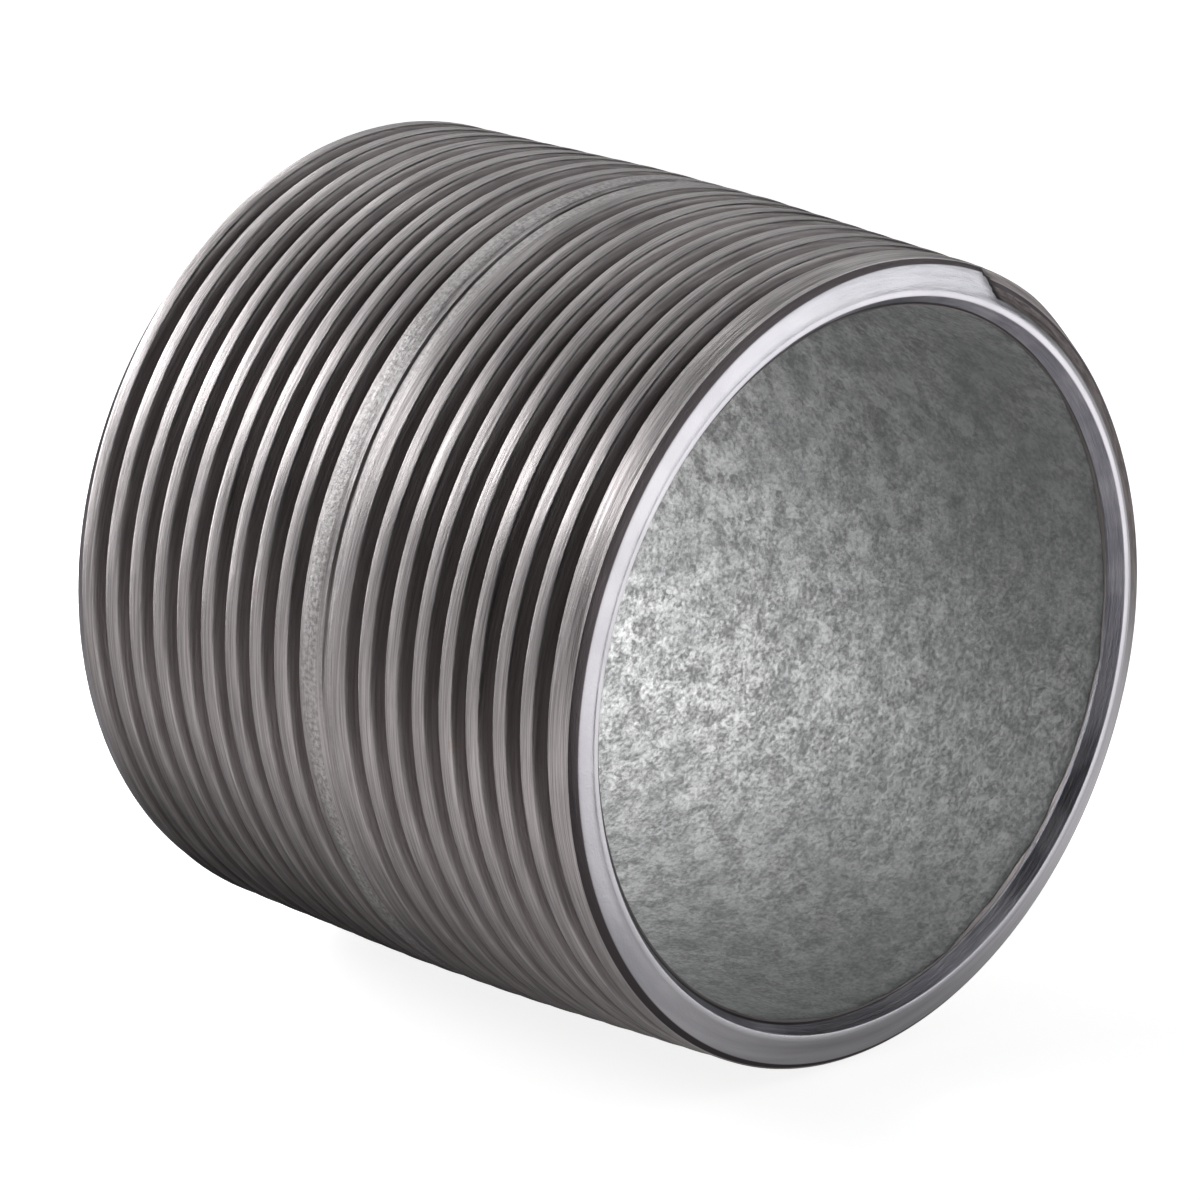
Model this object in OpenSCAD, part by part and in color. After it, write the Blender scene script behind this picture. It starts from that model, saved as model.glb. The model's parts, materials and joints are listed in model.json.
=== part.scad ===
// Close pipe nipple: a short piece of zinc-coated steel pipe with a right-hand taper pipe
// thread cut on each end, so close together that no plain pipe is left between them.
// The axis lies along X, the origin is on the axis at mid-length, and lengths are in
// millimetres. The near end is the one on the +X side.

/* [Pipe] */
// Length from end to end
nipple_length = 63.5; // [62:0.1:66]
// Outer diameter of the pipe that the nipple is cut from
pipe_od = 73.03; // [72.8:0.01:73.4]
// Diameter of the clear bore, inside the zinc
bore_d = 62.71; // [62.2:0.01:63.2]
// Thickness of the zinc layer left in the bore
zinc_thickness = 0.12; // [0.08:0.01:0.2]

/* [Thread] */
// Axial distance from one crest to the next
pitch = 3.175; // [3.1:0.005:3.2]
// Diameter over the crests, carried out to the end planes
crest_end_d = 71.45; // [71.2:0.01:71.8]
// Growth in diameter for each unit of length towards mid-length
taper = 0.0625; // [0.05:0.0025:0.07]
// Angle between the two flanks of a groove
flank_angle = 60; // [55:1:62]
// Width of a crest, as a share of the pitch
crest_share = 0.46; // [0.35:0.01:0.5]
// Width of a root, as a share of the pitch
root_share = 0.06; // [0.04:0.01:0.1]
// Distance from the near end plane to the first root on the -Y side, in pitches
near_start = 0.16; // [0.12:0.01:0.22]
// Distance from the far end plane to the first root on the -Y side, in pitches
far_start = 0.55; // [0.48:0.01:0.6]
// Flat steps in one turn of a groove
steps_per_turn = 36; // [28:4:40]

/* [Run-out at mid-length] */
// Position along X where the far thread's groove has faded out
far_fade_x = 1.5; // [1.2:0.1:1.8]
// Position along X where the near thread's groove begins
near_fade_x = 2.9; // [2.6:0.1:3.2]
// Turns that a groove takes to reach its full depth
fade_turns = 0.8; // [0.7:0.1:1]

/* [Ends] */
// Outer diameter of the flat rim at each end
rim_od = 66; // [65.6:0.1:66.4]
// Inner diameter of the flat rim at each end
rim_id = 65; // [64.6:0.1:65.2]
// Angle between the outer chamfer and the axis
chamfer_angle = 57; // [50:1:62]
// Angle between the reamed mouth of the bore and the axis
ream_angle = 45; // [40:1:50]

/* [Hidden] */

round_fn = 96;
half_length = nipple_length / 2;
pipe_r = pipe_od / 2;
bore_r = bore_d / 2;
steel_bore_r = bore_r + zinc_thickness;
rim_out_r = rim_od / 2;
rim_in_r = rim_id / 2;

// Radius gained for each unit of length towards mid-length
slope = taper / 2;
crest_end_r = crest_end_d / 2;
half_flank = flank_angle / 2;
groove_depth = pitch * (1 - crest_share - root_share) / (2 * tan(half_flank));
root_half = pitch * root_share / 2;

// How far a groove cutter stands proud of the surface that it cuts
cutter_proud = 0.3;
// How far past an end plane a groove cutter runs
cutter_overrun = 0.6 * pitch;

// Where the crest cone reaches the pipe's own outer surface, or else stops near mid-length
crest_full_x = max(0.1, half_length - (pipe_r - crest_end_r) / slope);
crest_top_r = min(pipe_r, crest_end_r + (half_length - crest_full_x) * slope);
// Where the outer chamfer meets the crest cone, measured from the end plane
chamfer_depth = (crest_end_r - rim_out_r) / (tan(chamfer_angle) - slope);
chamfer_top_r = crest_end_r + chamfer_depth * slope;
ream_depth = (rim_in_r - steel_bore_r) / tan(ream_angle);
zinc_edge_depth = (rim_in_r - bore_r) / tan(ream_angle);

// Radius of the blank's outer surface at x, before the grooves are cut
function crest_r(x) = min(crest_top_r, crest_end_r + (half_length - abs(x)) * slope);

// Radius of a full-depth root at x
function root_r(x) = crest_end_r - groove_depth + (half_length - abs(x)) * slope;

// How much of its depth a groove has lost, t being the share of the run-out left behind
function lift(t) = (groove_depth + cutter_proud) * pow(1 - min(1, max(0, t)), 1.6);

// One cross-section of a groove cutter, in the plane through the axis at angle a, where
// a root of half width root_half opens outwards along both flanks
function cutter_section(x, a, raised) =
    let(
        low = root_r(x) + raised,
        high = max(crest_r(x), low) + cutter_proud,
        wide = root_half + (high - low) * tan(half_flank)
    )
    [for (p = [[-wide, high], [-root_half, low], [root_half, low], [wide, high]])
        [x + p[0], p[1] * cos(a), p[1] * sin(a)]];

// A closed solid through equal four-point sections, which a groove is cut with
module swept_cutter(sections) {
    n = len(sections);
    sides = [
        for (i = [0 : n - 2], j = [0 : 3])
            let(a = 4 * i + j, b = 4 * i + (j + 1) % 4)
            each [[a, b + 4, b], [a, a + 4, b + 4]]
    ];
    last = 4 * (n - 1);
    caps = [[3, 1, 2], [3, 0, 1], [last, last + 2, last + 1], [last, last + 3, last + 2]];
    polyhedron(points = [for (s = sections) each s], faces = concat(sides, caps));
}

// The groove of the near thread, from its run-in at mid-length out past the near end
module near_groove() {
    first_x = half_length - near_start * pitch;
    begin = (near_fade_x - first_x) / pitch;
    finish = (half_length + cutter_overrun - first_x) / pitch;
    steps = ceil((finish - begin) * steps_per_turn);
    swept_cutter([
        for (i = [0 : steps])
            let(turns = begin + (finish - begin) * i / steps)
            cutter_section(
                first_x + turns * pitch,
                180 + 360 * turns,
                lift((turns - begin) / fade_turns)
            )
    ]);
}

// The groove of the far thread, from past the far end to its run-out at mid-length
module far_groove() {
    first_x = -half_length + far_start * pitch;
    begin = (-half_length - cutter_overrun - first_x) / pitch;
    finish = (far_fade_x - first_x) / pitch;
    steps = ceil((finish - begin) * steps_per_turn);
    swept_cutter([
        for (i = [0 : steps])
            let(turns = begin + (finish - begin) * i / steps)
            cutter_section(
                first_x + turns * pitch,
                180 + 360 * turns,
                lift((finish - turns) / fade_turns)
            )
    ]);
}

// Turns a profile of [x, radius] points about the X axis
module turned(profile) {
    rotate([0, 90, 0])
        rotate_extrude($fn = round_fn)
            polygon([for (p = profile) [p[1], p[0]]]);
}

// The pipe blank: two crest cones that meet the pipe's own surface, an outer chamfer and a
// reamed mouth at each end, and the bore under its zinc
module blank() {
    turned([
        [-half_length, rim_in_r],
        [-half_length, rim_out_r],
        [-half_length + chamfer_depth, chamfer_top_r],
        [-crest_full_x, crest_top_r],
        [crest_full_x, crest_top_r],
        [half_length - chamfer_depth, chamfer_top_r],
        [half_length, rim_out_r],
        [half_length, rim_in_r],
        [half_length - ream_depth, steel_bore_r],
        [-half_length + ream_depth, steel_bore_r]
    ]);
}

// The steel pipe with both threads cut in it
module steel_body() {
    color([0.47, 0.45, 0.45])
        difference() {
            blank();
            near_groove();
            far_groove();
        }
}

// The zinc layer that coats the bore and stops at the reamed mouths
module bore_zinc_lining() {
    color([0.66, 0.68, 0.68])
        turned([
            [-half_length + ream_depth, steel_bore_r],
            [half_length - ream_depth, steel_bore_r],
            [half_length - zinc_edge_depth, bore_r],
            [-half_length + zinc_edge_depth, bore_r]
        ]);
}

steel_body();
bore_zinc_lining();
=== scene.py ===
import json
import math

import bpy
import numpy as np
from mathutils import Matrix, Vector


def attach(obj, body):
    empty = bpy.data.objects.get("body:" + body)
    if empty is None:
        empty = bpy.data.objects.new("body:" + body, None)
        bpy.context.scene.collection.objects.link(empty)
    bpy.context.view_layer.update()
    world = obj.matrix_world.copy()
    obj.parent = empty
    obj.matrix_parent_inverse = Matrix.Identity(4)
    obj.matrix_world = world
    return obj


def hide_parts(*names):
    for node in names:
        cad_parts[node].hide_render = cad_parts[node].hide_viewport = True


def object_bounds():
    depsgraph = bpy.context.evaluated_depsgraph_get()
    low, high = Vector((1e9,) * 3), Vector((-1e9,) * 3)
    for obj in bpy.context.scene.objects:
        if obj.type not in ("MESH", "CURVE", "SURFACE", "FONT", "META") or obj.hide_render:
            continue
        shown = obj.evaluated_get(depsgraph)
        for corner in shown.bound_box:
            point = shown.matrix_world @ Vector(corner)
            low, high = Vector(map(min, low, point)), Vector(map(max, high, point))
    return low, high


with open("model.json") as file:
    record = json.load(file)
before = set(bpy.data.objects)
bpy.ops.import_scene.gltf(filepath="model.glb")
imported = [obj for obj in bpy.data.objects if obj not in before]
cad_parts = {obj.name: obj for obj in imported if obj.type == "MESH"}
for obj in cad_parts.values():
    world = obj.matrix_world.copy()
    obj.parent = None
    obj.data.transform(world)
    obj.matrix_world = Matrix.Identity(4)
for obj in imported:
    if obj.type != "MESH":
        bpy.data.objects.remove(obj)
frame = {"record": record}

CAD_LOW, CAD_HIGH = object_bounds()

# ---------------------------------------------------------------- sizes
# All lengths are in metres. The nipple's axis is X, and angles about it run from +Y to +Z.
MM = 0.001
MOUNTS = {m["name"]: m for m in frame["record"]["mounts"]}
HALF = (CAD_HIGH.x - CAD_LOW.x) / 2
PIPE_R = (CAD_HIGH.z - CAD_LOW.z) / 2
BORE_R = MOUNTS["bore"]["dims"]["r_mm"] * MM
ZINC_T = 0.12 * MM
STEEL_BORE_R = BORE_R + ZINC_T

PITCH = 3.175 * MM
SLOPE = 1 / 32
CREST_END_R = 35.725 * MM
ROOT_END_R = 34.405 * MM
ROOT_HALF = 0.03 * PITCH
TAN_FLANK = math.tan(math.radians(30))
EDGE_SOFT = 0.22 * MM
NEAR_START = 0.16 * PITCH
FAR_START = 0.55 * PITCH
FAR_FADE_X = 1.9 * MM
NEAR_FADE_X = 2.6 * MM
FAR_FADE_TURNS = 1.05
NEAR_FADE_TURNS = 0.8
SCORE_DEPTH = 0.22 * MM
SECOND_SCORE_X = 1.75 * MM
SECOND_SCORE_DEPTH = 0.10 * MM
SECOND_SCORE_HALF = 0.16 * MM
# The near groove stops here, in turns from the far thread's first root on the -Y side.
LAST_TURN = 18.66
CROWN = 0.075 * MM
# Wear of every crest before its unevenness is added, so that none of it leaves the CAD's box.
MEAN_WEAR = 0.05 * MM

RIM_OUT_R = 33.0 * MM
RIM_IN_R = 32.5 * MM
CHAMFER_ANGLE = math.radians(57)
REAM_ANGLE = math.radians(45)
RIM_EDGE = 0.07 * MM
FAR_CHAMFER_DEPTH = 1.75 * MM
# A radius well outside the crests, where the outlines of both ends begin.
OUTSIDE_R = PIPE_R + 4 * MM
# The near end is sawn a little out of square, so its chamfer begins later on the -Y side.
CORNER_R = 35.75 * MM
CORNER_X = HALF - 0.93 * MM
CORNER_SWING = 0.46 * MM
CORNER_TURN = math.radians(20)
SAW_DROP = 1.1 * MM
SAW_RUN = 0.4 * MM
# X gained for each unit of radius lost, on the near chamfer where it has no sawn edge.
PLAIN_LEAN = 0.637
# Past this angle from the -Y side, over the top, the first thread has torn the chamfer.
TORN_FROM = math.radians(118)
TORN_TO = math.radians(195)
TORN_HEAL = math.radians(45)
TORN_DROP = 0.28 * MM
TORN_SLANT = 1.2
TORN_FOOT = RIM_OUT_R + 0.45 * MM

STEPS = 432
TAU = 2 * math.pi


def lattice(seed, rows, columns):
    """A fixed table of values from -1 to 1 that the noise below reads."""
    return np.random.default_rng(seed).uniform(-1, 1, (rows, columns))


def ring_noise(angle, along, cells_round, cell_along, seed):
    """Smooth noise from -1 to 1 on a cylinder: it closes on itself after one turn."""
    table = lattice(seed, cells_round, 512)
    u = np.mod(angle / TAU, 1.0) * cells_round
    v = np.mod(along / cell_along + 256.0, 511.0)
    i, j = np.floor(u).astype(int), np.floor(v).astype(int)
    fu, fv = u - i, v - j
    fu, fv = fu * fu * (3 - 2 * fu), fv * fv * (3 - 2 * fv)
    i0, i1 = i % cells_round, (i + 1) % cells_round
    low = table[i0, j] * (1 - fu) + table[i1, j] * fu
    high = table[i0, j + 1] * (1 - fu) + table[i1, j + 1] * fu
    return low * (1 - fv) + high * fv


def smooth_max(a, b, k):
    """The larger of two values, rounded over a width k where they cross."""
    h = np.clip(0.5 + 0.5 * (a - b) / k, 0, 1)
    return b * (1 - h) + a * h + k * h * (1 - h) / 2


def smooth_min(a, b, k):
    """The smaller of two values, rounded over a width k where they cross."""
    return -smooth_max(-a, -b, k)


def smooth_step(t):
    """Eases from 0 to 1 as t goes from 0 to 1."""
    t = np.clip(t, 0, 1)
    return t * t * (3 - 2 * t)


# ---------------------------------------------------------------- mesh helpers
def new_object(name, verts, faces):
    mesh = bpy.data.meshes.new(name)
    mesh.from_pydata([tuple(v) for v in verts], [], faces)
    mesh.validate()
    mesh.update()
    made = bpy.data.objects.new(name, mesh)
    bpy.context.scene.collection.objects.link(made)
    return made


def on_cylinder(x, radius, angle):
    return np.stack([x, radius * np.cos(angle), radius * np.sin(angle)], axis=-1)


def turned(name, profile):
    """A closed ring solid; profile gives the closed (x, radius) outline at an angle."""
    angle = np.arange(STEPS) * TAU / STEPS
    points = np.array([profile(a) for a in angle])
    count = points.shape[1]
    around = np.repeat(angle[:, None], count, 1)
    verts = on_cylinder(points[:, :, 0], points[:, :, 1], around).reshape(-1, 3)
    faces = []
    for j in range(STEPS):
        k = (j + 1) % STEPS
        for i in range(count):
            n = (i + 1) % count
            faces.append((j * count + i, k * count + i, k * count + n, j * count + n))
    return new_object(name, verts, faces)


# ---------------------------------------------------------------- threaded surface
def groove_x(turns):
    """X of the groove's middle; turns is 0 at the far thread's first root on the -Y side."""
    far = -HALF + FAR_START + turns * PITCH
    near_first = HALF - NEAR_START
    grid_turns = round((near_first - (-HALF + FAR_START)) / PITCH)
    near = near_first + (turns - grid_turns) * PITCH
    middle = 0.8 * FAR_FADE_X
    blend = smooth_step((far + near) / 2 / PITCH - middle / PITCH + 0.5)
    return far + (near - far) * blend


def crest_r(x):
    """Radius over the crests at x."""
    return np.minimum(PIPE_R, CREST_END_R + (HALF - np.abs(x)) * SLOPE)


def groove_depth(x):
    """Depth of the groove whose middle is at x, below the crests there."""
    full = crest_r(x) - ROOT_END_R - (HALF - np.abs(x)) * SLOPE
    far_share = (FAR_FADE_X - x) / PITCH / FAR_FADE_TURNS
    near_share = (x - NEAR_FADE_X) / PITCH / NEAR_FADE_TURNS
    share = np.clip(np.maximum(far_share, near_share), 0, 1)
    score = SCORE_DEPTH * np.exp(-(((x - NEAR_FADE_X) / (1.8 * MM)) ** 2))
    return np.maximum(full - (full + 0.3 * MM) * (1 - share) ** 1.6, score)


def cut(distance, depth):
    """How far the surface is below the crest at a distance from a groove's middle."""
    top = ROOT_HALF + depth * TAN_FLANK
    flank = (top - np.abs(distance)) / TAN_FLANK
    rounded = smooth_max(smooth_min(flank, depth, EDGE_SOFT), 0, EDGE_SOFT * 1.2)
    return rounded * np.clip(depth / (0.15 * MM), 0, 1)


def strip_columns(here, ahead, top_here, top_ahead):
    """X of every point across the strip, from one groove's middle to the next one's."""
    start = here + top_here
    end = ahead - top_ahead
    land = np.maximum(end - start, 1e-6)
    edge = np.minimum(EDGE_SOFT * 0.7, land * 0.2)
    up_flank = (0.22, 0.5, 0.72, 0.86, 0.93, 1.0)
    columns = [here + ROOT_HALF * s for s in (0, 0.5, 1.0)]
    columns += [here + ROOT_HALF + (top_here - ROOT_HALF) * s for s in up_flank]
    columns += [start + edge * s for s in (0.35, 1.0)]
    columns += [start + edge + (land - 2 * edge) * s for s in (0.17, 0.33, 0.5, 0.67, 0.83)]
    columns += [end - edge * s for s in (1.0, 0.35)]
    columns += [ahead - ROOT_HALF - (top_ahead - ROOT_HALF) * s for s in reversed(up_flank)]
    columns += [ahead - ROOT_HALF * s for s in (1.0, 0.5)]
    return np.stack(columns, axis=1)


def thread_solid():
    """The threaded outside as one spiral strip, closed at both ends well past the nipple."""
    first = math.floor(-(1.6 + FAR_START / PITCH) * STEPS)
    last = math.ceil((2 * HALF / PITCH + 1.6) * STEPS)
    n = np.arange(first, last + 1)
    turns = n / STEPS
    angle = math.pi + turns * TAU
    here = groove_x(turns)
    ahead = groove_x(turns + 1)
    depth_here = groove_depth(here) * smooth_step((LAST_TURN - turns) / 0.05)
    depth_ahead = groove_depth(ahead) * smooth_step((LAST_TURN - turns - 1) / 0.05)
    top_here = ROOT_HALF + depth_here * TAN_FLANK
    top_ahead = ROOT_HALF + depth_ahead * TAN_FLANK
    x = strip_columns(here, ahead, top_here, top_ahead)
    phi = np.repeat(angle[:, None], x.shape[1], 1)

    below = cut(x - here[:, None], depth_here[:, None])
    below = below + cut(x - ahead[:, None], depth_ahead[:, None])
    start = here + top_here
    end = ahead - top_ahead
    centre = (start + end)[:, None] / 2
    land = np.maximum(end - start, 1e-6)
    crown = ((x - centre) / np.maximum(land / 2, 0.25 * PITCH)[:, None]) ** 2
    radius = crest_r(x) - below - CROWN * np.clip(crown, 0, 1.4)
    radius = radius - wear(x, phi, below)

    return closed_strip(on_cylinder(x, radius, phi))


def closed_strip(verts):
    """Joins each turn of the strip to the next, and closes both ends with a cone of faces."""
    rows, wide = verts.shape[:2]
    count = rows * wide
    index = np.arange(count).reshape(rows, wide)
    beyond = index[STEPS:, 0]
    full = np.concatenate([index[: rows - STEPS], beyond[:, None]], axis=1)
    a, b = full[:-1, :-1], full[:-1, 1:]
    c, d = full[1:, 1:], full[1:, :-1]
    faces = np.stack([a, d, c, b], axis=-1).reshape(-1, 4)

    verts = verts.reshape(-1, 3)
    used = np.unique(faces)
    remap = np.full(count, -1)
    remap[used] = np.arange(len(used))
    kept = verts[used]
    ends = np.array([[-HALF - 6 * PITCH, 0, 0], [HALF + 6 * PITCH, 0, 0]])
    all_verts = np.concatenate([kept, ends])
    quads = remap[faces].tolist()
    start_loop = remap[index[: STEPS + 1, 0]].tolist()
    start_loop += remap[full[0, 1:-1]][::-1].tolist()
    last_row = len(full) - 1
    end_loop = remap[full[last_row, :-1]].tolist()
    end_loop += remap[index[last_row : last_row + STEPS + 1, 0]][::-1].tolist()[:-1]
    tris = fan(start_loop, len(kept)) + fan(end_loop, len(kept) + 1)
    return new_object("thread_solid", all_verts, quads + tris)


def fan(loop, apex):
    """Triangles from each edge of a closed loop to one point."""
    return [(b, a, apex) for a, b in zip(loop, loop[1:] + loop[:1])]


def wear(x, phi, below):
    """Small true relief: uneven crests, torn edges, and the rough skin left at mid-length."""
    on_crest = 1 - smooth_step(below / (0.35 * MM))
    uneven = 0.022 * MM * ring_noise(phi, x, 40, 1.1 * MM, 1)
    torn = 0.05 * MM * np.maximum(0, ring_noise(phi, x, 300, 0.4 * MM, 2) - 0.45)
    middle = np.exp(-(((x - 0.9 * MM) / (2.2 * MM)) ** 2))
    skin = 0.018 * MM * ring_noise(phi, x, 260, 0.5 * MM, 3) * middle
    score = 0.07 * MM * np.maximum(0, ring_noise(phi, x, 9, 0.32 * MM, 4)) * middle
    line = x - SECOND_SCORE_X - ((phi - math.pi) / TAU - 9) * PITCH
    second = SECOND_SCORE_DEPTH * np.exp(-((line / SECOND_SCORE_HALF) ** 2)) * middle
    return on_crest * (MEAN_WEAR + uneven + torn + skin + score + second)


# ---------------------------------------------------------------- pieces
def trimmed(solid, trimmer):
    """What the two closed solids share, as a plain mesh on a new object."""
    mod = solid.modifiers.new("trim", "BOOLEAN")
    mod.operation = "INTERSECT"
    mod.solver = "MANIFOLD"
    mod.object = trimmer
    depsgraph = bpy.context.evaluated_depsgraph_get()
    mesh = bpy.data.meshes.new_from_object(solid.evaluated_get(depsgraph))
    for old in (solid, trimmer):
        bpy.data.objects.remove(old, do_unlink=True)
    return mesh


def far_chamfer():
    """The plain chamfer, from outside the crests down to the rim."""
    depth = (OUTSIDE_R - RIM_OUT_R) / math.tan(CHAMFER_ANGLE)
    middle = (HALF - depth / 2, (OUTSIDE_R + RIM_OUT_R) / 2)
    return [(HALF - depth, OUTSIDE_R), middle]


def torn_drop(angle, radius):
    """How far the torn chamfer lies behind the whole one, at an angle and a radius."""
    turn = (TAU - angle - TORN_FROM) % TAU - math.pi
    if abs(turn) > math.pi / 2:
        return 0.0
    radius = min(radius, CORNER_R)
    past = radius * math.sin(turn) + (radius - TORN_FOOT) * TORN_SLANT
    healed = smooth_step((TORN_TO - TORN_FROM - turn) / TORN_HEAL)
    high = smooth_step((radius - TORN_FOOT) / (0.5 * MM))
    return TORN_DROP * float(smooth_step(past / (0.5 * MM)) * healed * high)


def near_chamfer(angle):
    """The saw's edge and the chamfer under it, which change round the near end."""
    swing = -math.cos(angle + CORNER_TURN)
    share = 0.05 + 0.95 * (swing + 1) / 2
    corner_x = CORNER_X + CORNER_SWING * swing
    lean = PLAIN_LEAN + (SAW_RUN / SAW_DROP - PLAIN_LEAN) * share
    low_x, low_r = corner_x + SAW_RUN * share, CORNER_R - SAW_DROP * share
    foot_x = HALF - RIM_EDGE
    foot_r = RIM_OUT_R + RIM_EDGE * math.tan(CHAMFER_ANGLE)
    points = [(corner_x - (OUTSIDE_R - CORNER_R) * lean, OUTSIDE_R)]
    for part in (0, 0.25, 0.5, 0.75):
        points.append((low_x + (foot_x - low_x) * part, low_r + (foot_r - low_r) * part))
    return [(x - torn_drop(angle, r), r) for x, r in points]


def rim_profile(side, chamfer):
    """Points of one end from outside the crests to the steel bore, on the side given."""
    ream = (RIM_IN_R - STEEL_BORE_R) / math.tan(REAM_ANGLE)
    points = list(chamfer)
    points += [(HALF - RIM_EDGE, RIM_OUT_R + RIM_EDGE * math.tan(CHAMFER_ANGLE))]
    points += [(HALF - RIM_EDGE * 0.3, RIM_OUT_R + RIM_EDGE * 0.2)]
    points += [(HALF, RIM_OUT_R - RIM_EDGE)]
    points += [(HALF, RIM_IN_R + RIM_EDGE)]
    points += [(HALF - RIM_EDGE * 0.3, RIM_IN_R)]
    points += [(HALF - RIM_EDGE * 1.2, RIM_IN_R - RIM_EDGE)]
    points += [(HALF - ream * 0.5, RIM_IN_R - (RIM_IN_R - STEEL_BORE_R) * 0.5)]
    points += [(HALF - ream, STEEL_BORE_R)]
    return [(side * x, r) for x, r in points]


def make_steel():
    """The threads, cut to length by a blank that has both ends' chamfers and mouths."""
    far = rim_profile(-1, far_chamfer())[::-1]
    blank = turned("blank", lambda angle: rim_profile(1, near_chamfer(angle)) + far)
    mesh = trimmed(thread_solid(), blank)
    mesh.name = "threaded_pipe"
    made = bpy.data.objects.new("threaded_pipe", mesh)
    bpy.context.scene.collection.objects.link(made)
    shade(made, 32)
    return made


def shade(piece, degrees):
    """Smooth shading, kept sharp at edges that turn by more than the given degrees."""
    mesh = piece.data
    mesh.shade_smooth()
    mesh.set_sharp_from_angle(angle=math.radians(degrees))


def make_lining():
    """The zinc in the bore: a thin shell with a slightly lumpy inside and uneven edges."""
    rings = 150
    angle = np.arange(STEPS) * TAU / STEPS
    phi = np.repeat(angle[:, None], rings, 1)
    base = (RIM_IN_R - BORE_R) / math.tan(REAM_ANGLE)
    loss = []
    for seed in (11, 12):
        ragged = ring_noise(angle, angle * 0, 26, 1, seed) * 0.5
        ragged = ragged + ring_noise(angle, angle * 0, 90, 1, seed + 4) * 0.25
        loss.append(base + 0.5 * MM + 0.55 * MM * ragged)
    t = np.linspace(0, 1, rings)[None, :]
    low, high = -HALF + loss[0][:, None], HALF - loss[1][:, None]
    x = low + (high - low) * t
    bumps = 0.022 * MM * ring_noise(phi, x, 110, 1.7 * MM, 21)
    bumps = bumps + 0.012 * MM * ring_noise(phi, x, 230, 0.8 * MM, 22)
    inner = BORE_R + 0.02 * MM + bumps
    lip = smooth_step(np.minimum(x - low, high - x) / (0.35 * MM))
    inner = inner + (1 - lip) * 0.07 * MM
    outer = np.full_like(inner, STEEL_BORE_R)
    verts = np.concatenate(
        [
            on_cylinder(x, inner, phi).reshape(-1, 3),
            on_cylinder(x, outer, phi)[:, [0, -1]].reshape(-1, 3),
        ]
    )
    shift = STEPS * rings
    faces = []
    for j in range(STEPS):
        k = (j + 1) % STEPS
        for i in range(rings - 1):
            a, b = j * rings + i, k * rings + i
            faces.append((a, a + 1, b + 1, b))
        ja, ka = shift + 2 * j, shift + 2 * k
        faces.append((j * rings, k * rings, ka, ja))
        faces.append((j * rings + rings - 1, ja + 1, ka + 1, k * rings + rings - 1))
        faces.append((ja, ka, ka + 1, ja + 1))
    made = new_object("zinc_lining", verts, faces)
    shade(made, 40)
    return made


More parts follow.
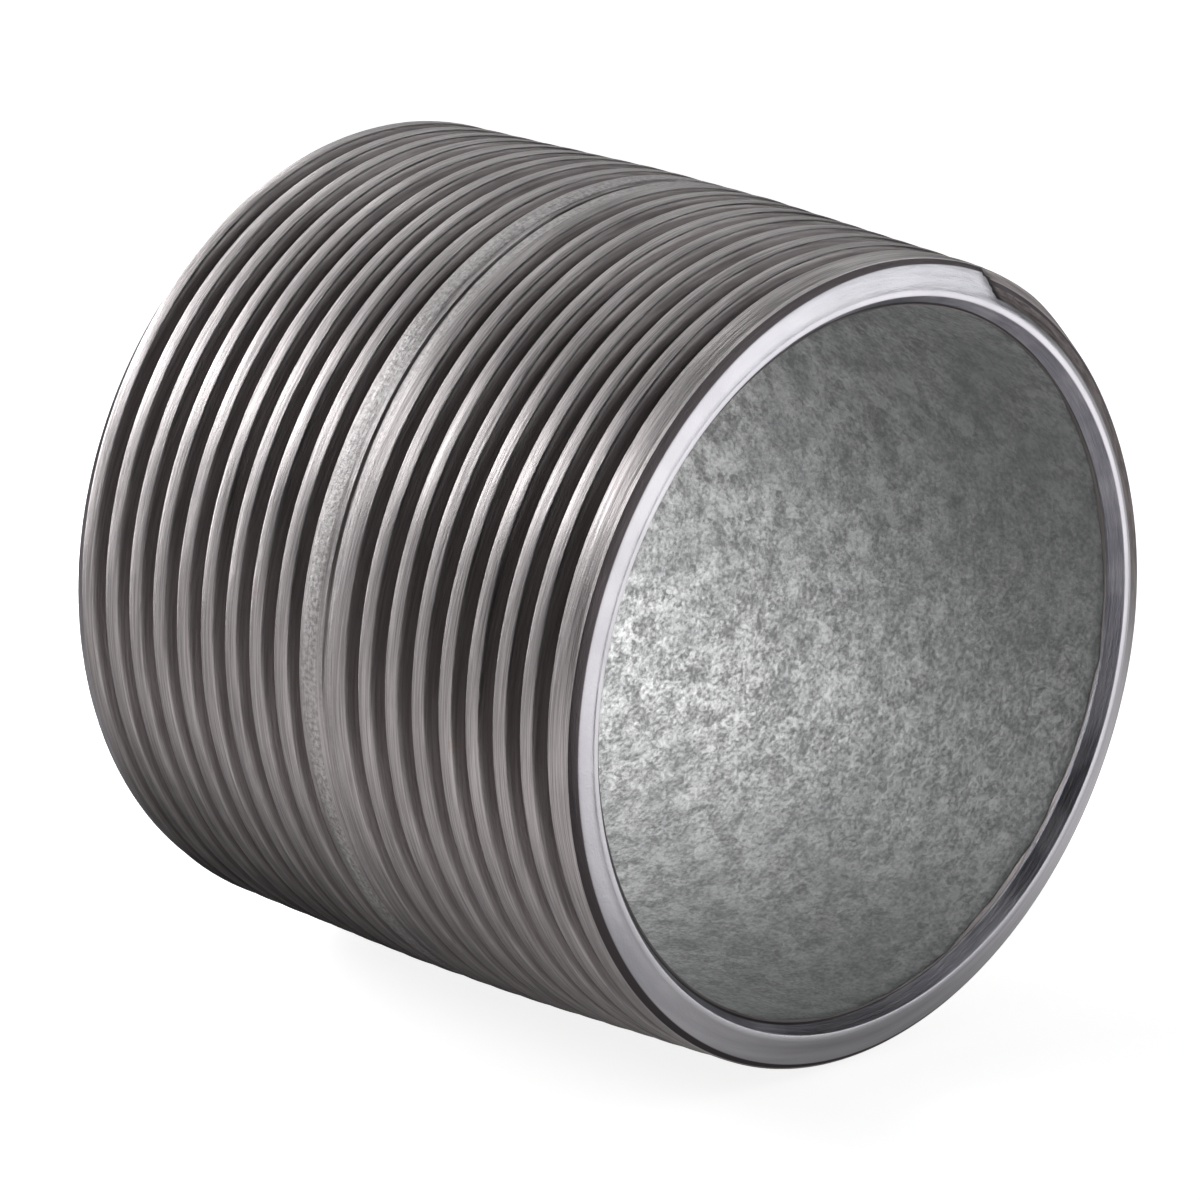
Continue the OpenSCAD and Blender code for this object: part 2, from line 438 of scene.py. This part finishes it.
# ---------------------------------------------------------------- materials
class Nodes:
    """Short calls for building one node material."""

    def __init__(self, name):
        self.material = bpy.data.materials.new(name)
        self.material.use_nodes = True
        self.tree = self.material.node_tree
        self.bsdf = self.tree.nodes["Principled BSDF"]

    def link(self, a, b):
        self.tree.links.new(a, b)

    def put(self, socket, value):
        if hasattr(value, "is_linked"):
            self.link(value, socket)
        else:
            socket.default_value = value

    def position(self):
        return self.tree.nodes.new("ShaderNodeTexCoord").outputs["Object"]

    def math(self, kind, a, b=0.0, clamp=False):
        node = self.tree.nodes.new("ShaderNodeMath")
        node.operation = kind
        node.use_clamp = clamp
        self.put(node.inputs[0], a)
        self.put(node.inputs[1], b)
        return node.outputs[0]

    def stretch(self, vector, scale):
        node = self.tree.nodes.new("ShaderNodeVectorMath")
        node.operation = "MULTIPLY"
        self.put(node.inputs[0], vector)
        node.inputs[1].default_value = scale
        return node.outputs[0]

    def shift(self, vector, step):
        node = self.tree.nodes.new("ShaderNodeVectorMath")
        node.operation = "ADD"
        self.put(node.inputs[0], vector)
        node.inputs[1].default_value = step
        return node.outputs[0]

    def size(self, vector):
        node = self.tree.nodes.new("ShaderNodeVectorMath")
        node.operation = "LENGTH"
        self.put(node.inputs[0], vector)
        return node.outputs["Value"]

    def along(self, vector, axis):
        node = self.tree.nodes.new("ShaderNodeVectorMath")
        node.operation = "DOT_PRODUCT"
        self.put(node.inputs[0], vector)
        node.inputs[1].default_value = axis
        return node.outputs["Value"]

    def noise(self, vector, scale, detail=4.0, rough=0.55):
        node = self.tree.nodes.new("ShaderNodeTexNoise")
        self.put(node.inputs["Vector"], vector)
        node.inputs["Scale"].default_value = scale
        node.inputs["Detail"].default_value = detail
        node.inputs["Roughness"].default_value = rough
        return node.outputs["Fac"]

    def cells(self, vector, scale):
        node = self.tree.nodes.new("ShaderNodeTexVoronoi")
        self.put(node.inputs["Vector"], vector)
        node.inputs["Scale"].default_value = scale
        return node.outputs["Color"]

    def fit(self, value, low, high, to_low=0.0, to_high=1.0):
        node = self.tree.nodes.new("ShaderNodeMapRange")
        node.interpolation_type = "SMOOTHSTEP"
        self.put(node.inputs["Value"], value)
        node.inputs["From Min"].default_value = low
        node.inputs["From Max"].default_value = high
        node.inputs["To Min"].default_value = to_low
        node.inputs["To Max"].default_value = to_high
        return node.outputs["Result"]

    def mix(self, share, a, b):
        node = self.tree.nodes.new("ShaderNodeMix")
        node.data_type = "RGBA"
        self.put(node.inputs["Factor"], share)
        self.put(node.inputs["A"], a)
        self.put(node.inputs["B"], b)
        return node.outputs["Result"]

    def bump(self, height, distance, strength=1.0, normal=None):
        node = self.tree.nodes.new("ShaderNodeBump")
        self.put(node.inputs["Height"], height)
        node.inputs["Distance"].default_value = distance
        node.inputs["Strength"].default_value = strength
        if normal is not None:
            self.link(normal, node.inputs["Normal"])
        return node.outputs["Normal"]

    def radius(self, position):
        """X of a position, and its distance from the X axis."""
        split = self.tree.nodes.new("ShaderNodeSeparateXYZ")
        self.link(position, split.inputs[0])
        across = self.math("MULTIPLY", split.outputs["Y"], split.outputs["Y"])
        up = self.math("MULTIPLY", split.outputs["Z"], split.outputs["Z"])
        return split.outputs["X"], self.math("SQRT", self.math("ADD", across, up))


def cut_steel():
    """Bare machined steel: pale worn crests, grooves and mouth underside darkened with painted
    shade, and brighter turned ends.
    """
    n = Nodes("cut_steel")
    place = n.position()
    x, radius = n.radius(place)
    from_middle = n.math("ABSOLUTE", x)
    taper_drop = n.math("MULTIPLY", n.math("SUBTRACT", HALF, from_middle), SLOPE)
    crest_line = n.math("MINIMUM", n.math("ADD", taper_drop, CREST_END_R), PIPE_R)
    below = n.math("SUBTRACT", crest_line, radius)

    across = CORNER_SWING / CORNER_R
    lean = (1, math.cos(CORNER_TURN) * across, -math.sin(CORNER_TURN) * across)
    past_saw = n.math("SUBTRACT", n.along(place, lean), CORNER_X)
    near_end = n.fit(past_saw, -0.02 * MM, 0.03 * MM)
    far_x = HALF - FAR_CHAMFER_DEPTH
    far_end = n.fit(n.math("MULTIPLY", x, -1), far_x - 0.03 * MM, far_x + 0.03 * MM)
    turned_end = n.math("MAXIMUM", near_end, far_end)
    sway = n.along(place, (0, lean[1], lean[2]))
    saw_width = n.math("SUBTRACT", 0.525 * SAW_RUN, n.math("MULTIPLY", sway, 0.44))
    sawn = n.fit(n.math("SUBTRACT", past_saw, saw_width), 0.02 * MM, -0.04 * MM)
    in_mouth = n.fit(radius, RIM_IN_R + 0.02 * MM, RIM_IN_R - 0.06 * MM)

    threads = n.math("SUBTRACT", 1.0, turned_end)
    flank = n.math("MULTIPLY", n.fit(below, 0.14 * MM, 0.55 * MM), threads)

    tool_marks = n.noise(n.stretch(place, (9000, 120, 120)), 1.0, 3.0, 0.6)
    coarse_marks = n.noise(n.stretch(place, (2600, 45, 45)), 1.0, 3.0, 0.5)
    tears = n.noise(n.stretch(place, (5200, 420, 420)), 1.0, 4.0, 0.7)
    grain = n.noise(place, 5200, 3.0, 0.6)
    cloud = n.noise(place, 160, 3.0, 0.55)
    speckle = n.noise(place, 2600, 4.0, 0.65)
    middle = n.math("ABSOLUTE", n.math("SUBTRACT", x, 0.8 * MM))
    skin_zone = n.fit(middle, 3.0 * MM, 1.2 * MM)
    skin = n.math("MULTIPLY", skin_zone, n.fit(below, 0.16 * MM, 0.06 * MM))

    dark, light = (0.29, 0.268, 0.272, 1), (0.55, 0.52, 0.52, 1)
    base = n.mix(n.fit(tool_marks, 0.3, 0.7), dark, light)
    base = n.mix(n.math("MULTIPLY", n.fit(tears, 0.56, 0.72), 0.35), base, (0.20, 0.18, 0.18, 1))
    # Painted shade: the flanks and roots of the grooves are darkened.
    base = n.mix(n.math("MULTIPLY", flank, 0.65), base, (0.18, 0.155, 0.155, 1))
    rust_spot = n.fit(n.noise(place, 230, 5.0, 0.7), 0.66, 0.80)
    base = n.mix(n.math("MULTIPLY", rust_spot, 0.4), base, (0.33, 0.20, 0.13, 1))
    skin_tone = n.mix(n.fit(speckle, 0.35, 0.65), (0.26, 0.25, 0.25, 1), (0.74, 0.73, 0.73, 1))
    base = n.mix(n.math("MULTIPLY", skin, 0.5), base, skin_tone)
    end_tone = n.mix(n.fit(coarse_marks, 0.3, 0.7), (0.44, 0.44, 0.475, 1), (0.60, 0.60, 0.63, 1))
    mouth_tone = n.mix(n.fit(cloud, 0.4, 0.65), (0.22, 0.22, 0.25, 1), (0.32, 0.32, 0.35, 1))
    # Painted shade: the mouth is darkened towards its underside, below z = -30 mm.
    mouth_underside_shade = n.fit(n.along(place, (0, 0, 1)), -30 * MM, -32.4 * MM, 0.0, 0.8)
    mouth_tone = n.mix(mouth_underside_shade, mouth_tone, (0.06, 0.055, 0.06, 1))
    end_tone = n.mix(in_mouth, end_tone, mouth_tone)
    torn_way = (0, math.sin(TORN_FROM), math.cos(TORN_FROM))
    high = n.math("SUBTRACT", radius, TORN_FOOT)
    past_tear = n.math("ADD", n.along(place, torn_way), n.math("MULTIPLY", high, TORN_SLANT))
    torn = n.math("MULTIPLY", n.fit(past_tear, 0.0, 0.3 * MM), n.fit(high, 0.0, 0.2 * MM))
    torn = n.math("MULTIPLY", torn, n.fit(n.along(place, (0, 0, 1)), -14 * MM, 4 * MM))
    torn = n.math("MULTIPLY", torn, near_end)
    # Painted shadow: a near-black band along the step where the chamfer drops to its torn part,
    # and just past it.
    tear_step_shadow = n.fit(past_tear, 1.5 * MM, 0.5 * MM)
    torn_tone = n.mix(n.fit(tears, 0.35, 0.65), (0.10, 0.085, 0.085, 1), (0.24, 0.21, 0.21, 1))
    torn_tone = n.mix(tear_step_shadow, torn_tone, (0.03, 0.025, 0.03, 1))
    end_tone = n.mix(torn, end_tone, torn_tone)
    end_tone = n.mix(n.math("MULTIPLY", sawn, near_end), end_tone, (0.07, 0.062, 0.066, 1))
    base = n.mix(turned_end, base, end_tone)
    n.link(base, n.bsdf.inputs["Base Color"])

    rough = n.fit(coarse_marks, 0.3, 0.7, 0.28, 0.44)
    rough = n.math("ADD", rough, n.math("MULTIPLY", n.fit(cloud, 0.4, 0.7), 0.08))
    rough = n.math("ADD", rough, n.math("MULTIPLY", flank, 0.06))
    rough = n.math("ADD", rough, n.math("MULTIPLY", skin, 0.08), clamp=True)
    n.link(rough, n.bsdf.inputs["Roughness"])
    n.bsdf.inputs["Metallic"].default_value = 1.0

    height = n.math("ADD", n.math("MULTIPLY", tool_marks, 0.5), coarse_marks)
    normal = n.bump(height, 0.04 * MM, 0.8)
    normal = n.bump(tears, 0.05 * MM, 0.8, normal)
    normal = n.bump(grain, 0.022 * MM, 0.7, normal)
    normal = n.bump(n.math("MULTIPLY", speckle, skin), 0.08 * MM, 0.7, normal)
    n.link(normal, n.bsdf.inputs["Normal"])
    return n.material


def galvanised():
    """Hot-dip zinc: fine pale crystals over a mottled grey, with painted shade that darkens it
    towards the near mouth.
    """
    n = Nodes("galvanised_zinc")
    place = n.position()
    warp = n.noise(place, 480, 3.0, 0.6)
    fine = n.noise(place, 2300, 4.0, 0.62)
    blotch = n.noise(place, 190, 4.0, 0.6)
    crystals = n.cells(place, 900)
    split = n.tree.nodes.new("ShaderNodeSeparateColor")
    n.link(crystals, split.inputs[0])
    mottled = n.math("ADD", n.math("MULTIPLY", fine, 0.46), n.math("MULTIPLY", warp, 0.44))
    mottled = n.math("ADD", mottled, n.math("MULTIPLY", split.outputs["Red"], 0.10))
    tone = n.fit(mottled, 0.34, 0.66)
    base = n.mix(tone, (0.20, 0.202, 0.202, 1), (0.62, 0.628, 0.624, 1))
    base = n.mix(n.fit(blotch, 0.40, 0.68, 0.0, 0.4), base, (0.22, 0.23, 0.23, 1))
    # Painted shade: the zinc is darkened more and more towards the near mouth (+X).
    near_mouth_shade = n.fit(n.along(place, (1, 0, 0)), -24 * MM, 24 * MM, 0.0, 0.62)
    base = n.mix(near_mouth_shade, base, (0.15, 0.155, 0.155, 1))
    n.link(base, n.bsdf.inputs["Base Color"])
    n.link(n.fit(fine, 0.3, 0.7, 0.72, 0.52), n.bsdf.inputs["Roughness"])
    n.bsdf.inputs["Metallic"].default_value = 0.6
    normal = n.bump(fine, 0.07 * MM, 0.8)
    normal = n.bump(warp, 0.13 * MM, 0.6, normal)
    n.link(normal, n.bsdf.inputs["Normal"])
    return n.material


def pale_floor():
    """The white ground, which glows so that it stays white."""
    n = Nodes("pale_floor")
    n.bsdf.inputs["Base Color"].default_value = (0.6, 0.6, 0.6, 1)
    n.bsdf.inputs["Roughness"].default_value = 0.8
    n.bsdf.inputs["Specular IOR Level"].default_value = 0.0
    n.bsdf.inputs["Emission Color"].default_value = (1, 1, 1, 1)
    n.bsdf.inputs["Emission Strength"].default_value = 0.85
    return n.material


def ground_cloth():
    """A grey cloth's glow, seen only in reflections: a painted shadow leaves it dark under the
    nipple, and it is brighter away from it.
    """
    n = Nodes("ground_cloth")
    place = n.position()
    from_axis = n.size(n.stretch(n.shift(place, (30 * MM, 0, 0)), (0.6, 1, 0)))
    # Painted shadow: the glow is nothing under the nipple and rises away from it.
    glow = n.fit(from_axis, 16 * MM, 78 * MM, 0.0, 0.55)
    to_patch = n.size(n.shift(n.stretch(place, (1, 1, 0)), (-122 * MM, 44 * MM, 0)))
    glow = n.math("MULTIPLY", glow, n.fit(to_patch, 30 * MM, 110 * MM, 0.6, 1.0))
    sideways = n.along(place, (1, -0.6, 0))
    glow = n.math("MULTIPLY", glow, n.fit(sideways, -40 * MM, 15 * MM, 0.8, 1.5))
    to_rear = n.size(n.shift(n.stretch(place, (1, 1, 0)), (-350 * MM, -120 * MM, 0)))
    glow = n.math("ADD", glow, n.fit(to_rear, 330 * MM, 180 * MM, 0, 1.1))
    n.bsdf.inputs["Base Color"].default_value = (0.0, 0.0, 0.0, 1)
    n.bsdf.inputs["Roughness"].default_value = 1.0
    n.bsdf.inputs["Specular IOR Level"].default_value = 0.0
    n.bsdf.inputs["Emission Color"].default_value = (1, 0.97, 0.97, 1)
    n.link(glow, n.bsdf.inputs["Emission Strength"])
    return n.material


def black_card():
    """A card that reflects almost nothing."""
    n = Nodes("black_card")
    n.bsdf.inputs["Base Color"].default_value = (0.005, 0.005, 0.005, 1)
    n.bsdf.inputs["Roughness"].default_value = 1.0
    n.bsdf.inputs["Specular IOR Level"].default_value = 0.0
    return n.material


# ---------------------------------------------------------------- stage
def make_floor():
    """A wide floor at the nipple's lowest point."""
    level = CAD_LOW.z
    size = 3.0
    corners = [(-size, -size), (size, -size), (size, size), (-size, size)]
    floor = new_object("floor", [(x, y, level) for x, y in corners], [(0, 1, 2, 3)])
    floor.data.materials.append(pale_floor())


def direction(azimuth, elevation):
    """Unit vector from the nipple; azimuth 0 is towards -Y and 90 towards +X."""
    a, e = math.radians(azimuth), math.radians(elevation)
    return Vector((math.sin(a) * math.cos(e), -math.cos(a) * math.cos(e), math.sin(e)))


def softbox(name, azimuth, elevation, distance, width, height, watts):
    """An area light that faces the nipple from azimuth and elevation."""
    light = bpy.data.lights.new(name, "AREA")
    light.shape = "RECTANGLE"
    light.size, light.size_y = width, height
    light.energy = watts
    lamp = bpy.data.objects.new(name, light)
    away = direction(azimuth, elevation)
    lamp.location = away * distance
    lamp.rotation_mode = "QUATERNION"
    lamp.rotation_quaternion = away.to_track_quat("Z", "Y")
    bpy.context.scene.collection.objects.link(lamp)


def for_reflections(card):
    """Leaves a card out of everything but reflections."""
    card.visible_camera = False
    card.visible_shadow = False
    card.visible_diffuse = False


def make_card(name, azimuth, distance, slide, width, height):
    """A black card that stands on the floor, square to azimuth and slid sideways."""
    away = direction(azimuth, 0)
    side = Vector((-away.y, away.x, 0))
    across = side * width / 2
    foot = away * distance + side * slide + Vector((0, 0, CAD_LOW.z + 0.001))
    top = Vector((0, 0, height))
    corners = [foot - across, foot + across, foot + across + top, foot - across + top]
    card = new_object(name, corners, [(0, 1, 2, 3)])
    card.data.materials.append(black_card())
    for_reflections(card)


def make_cloth():
    """The grey cloth under the nipple, just above the floor."""
    level = CAD_LOW.z + 0.0005
    size = 1.2
    corners = [(-size, -size), (size, -size), (size, size), (-size, size)]
    cloth = new_object("ground_cloth", [(x, y, level) for x, y in corners], [(0, 1, 2, 3)])
    cloth.data.materials.append(ground_cloth())
    for_reflections(cloth)


def make_world():
    """A nearly dark room, so that the lights and cards make the reflections."""
    world = bpy.data.worlds.new("studio")
    world.use_nodes = True
    back = world.node_tree.nodes["Background"]
    back.inputs["Color"].default_value = (1, 1, 1, 1)
    back.inputs["Strength"].default_value = 0.03
    bpy.context.scene.world = world


def make_camera():
    """A long lens that looks down on the open near end."""
    azimuth, elevation = 45.3, 18.2
    distance = 23.7 * PIPE_R
    data = bpy.data.cameras.new("camera")
    data.sensor_width = 36
    data.lens = 295.9
    data.shift_x, data.shift_y = -0.00625, -0.0119
    data.clip_start, data.clip_end = 0.01, 20
    camera = bpy.data.objects.new("camera", data)
    away = direction(azimuth, elevation)
    camera.location = away * distance
    camera.rotation_mode = "QUATERNION"
    camera.rotation_quaternion = away.to_track_quat("Z", "Y")
    bpy.context.scene.collection.objects.link(camera)
    bpy.context.scene.camera = camera


steel = make_steel()
steel.data.materials.clear()
steel.data.materials.append(cut_steel())
lining = make_lining()
lining.data.materials.append(galvanised())
for piece, node, slot in (
    (steel, "steel_body", "cut_steel"),
    (lining, "bore_zinc_lining", "galvanised_zinc"),
):
    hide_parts(node)
    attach(piece, "root")

make_floor()
make_world()
make_camera()
softbox("key", -52, 34, 0.9, 0.52, 0.34, 2.35)
softbox("low_fill", -46, 6, 0.9, 0.5, 0.20, 0.24)
softbox("left_fill", -98, 42, 0.9, 0.50, 0.40, 0.75)
softbox("rear_fill", -132, 28, 0.9, 0.60, 0.50, 0.85)
softbox("through", -90, 8, 0.165, 0.14, 0.10, 0.34)
softbox("end_strip", 130, 6, 0.9, 0.9, 0.30, 1.4)
softbox("back", 122, 34, 0.9, 0.85, 0.36, 1.1)
make_card("dark_card", 66, 0.10, -0.033, 0.094, 0.095)
make_cloth()

bpy.context.scene.view_settings.view_transform = "Standard"
